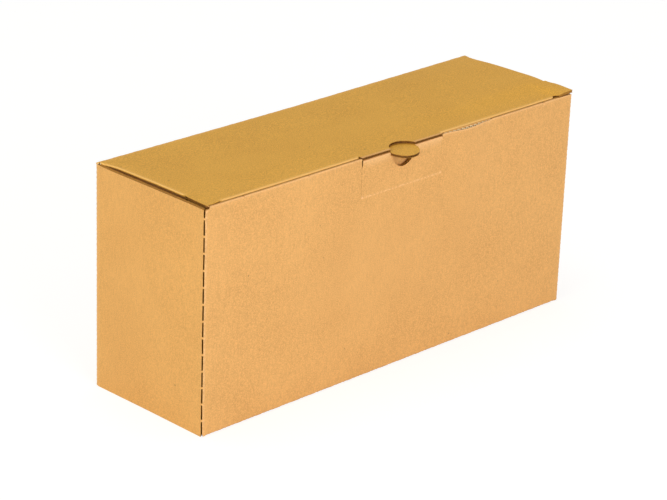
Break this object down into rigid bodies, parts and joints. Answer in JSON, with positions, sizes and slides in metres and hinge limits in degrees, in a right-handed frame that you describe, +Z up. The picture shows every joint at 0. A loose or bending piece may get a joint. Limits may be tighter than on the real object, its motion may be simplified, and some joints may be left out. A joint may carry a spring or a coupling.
{
  "type": "corrugated shipping carton",
  "caption": "Closed shipping carton folded from one fluted sheet, with a tuck-in lid held by a lock flap and a half-round pull tab.",
  "frame": {"origin": "centre of the carton's bottom face", "axes": "+X along the length to the right, the front wall with the lock faces -Y, +Z up"},
  "size_m": [0.298, 0.0995, 0.137],
  "materials": {
    "kraft_board": "matte"
  },
  "bodies": {
    "carton": {"carton": "kraft_board"},
    "lock_flap": {"lock_flap": "kraft_board"},
    "lock_flange": {"lock_flange": "kraft_board"}
  },
  "joints": [
    {"name": "lock_hinge", "type": "hinge", "parent": "carton", "child": "lock_flap", "pos_m": [0.003, -0.0442, 0.1126], "axis": [1, 0, 0], "range_deg": [0, 75]},
    {"name": "flange_hinge", "type": "hinge", "parent": "lock_flap", "child": "lock_flange", "pos_m": [0.003, -0.0442, 0.1341], "axis": [1, 0, 0], "range_deg": [-56.25, 0]}
  ],
  "couplings": [
    {"joint": "flange_hinge", "follows": "lock_hinge", "ratio": -0.75}
  ]
}
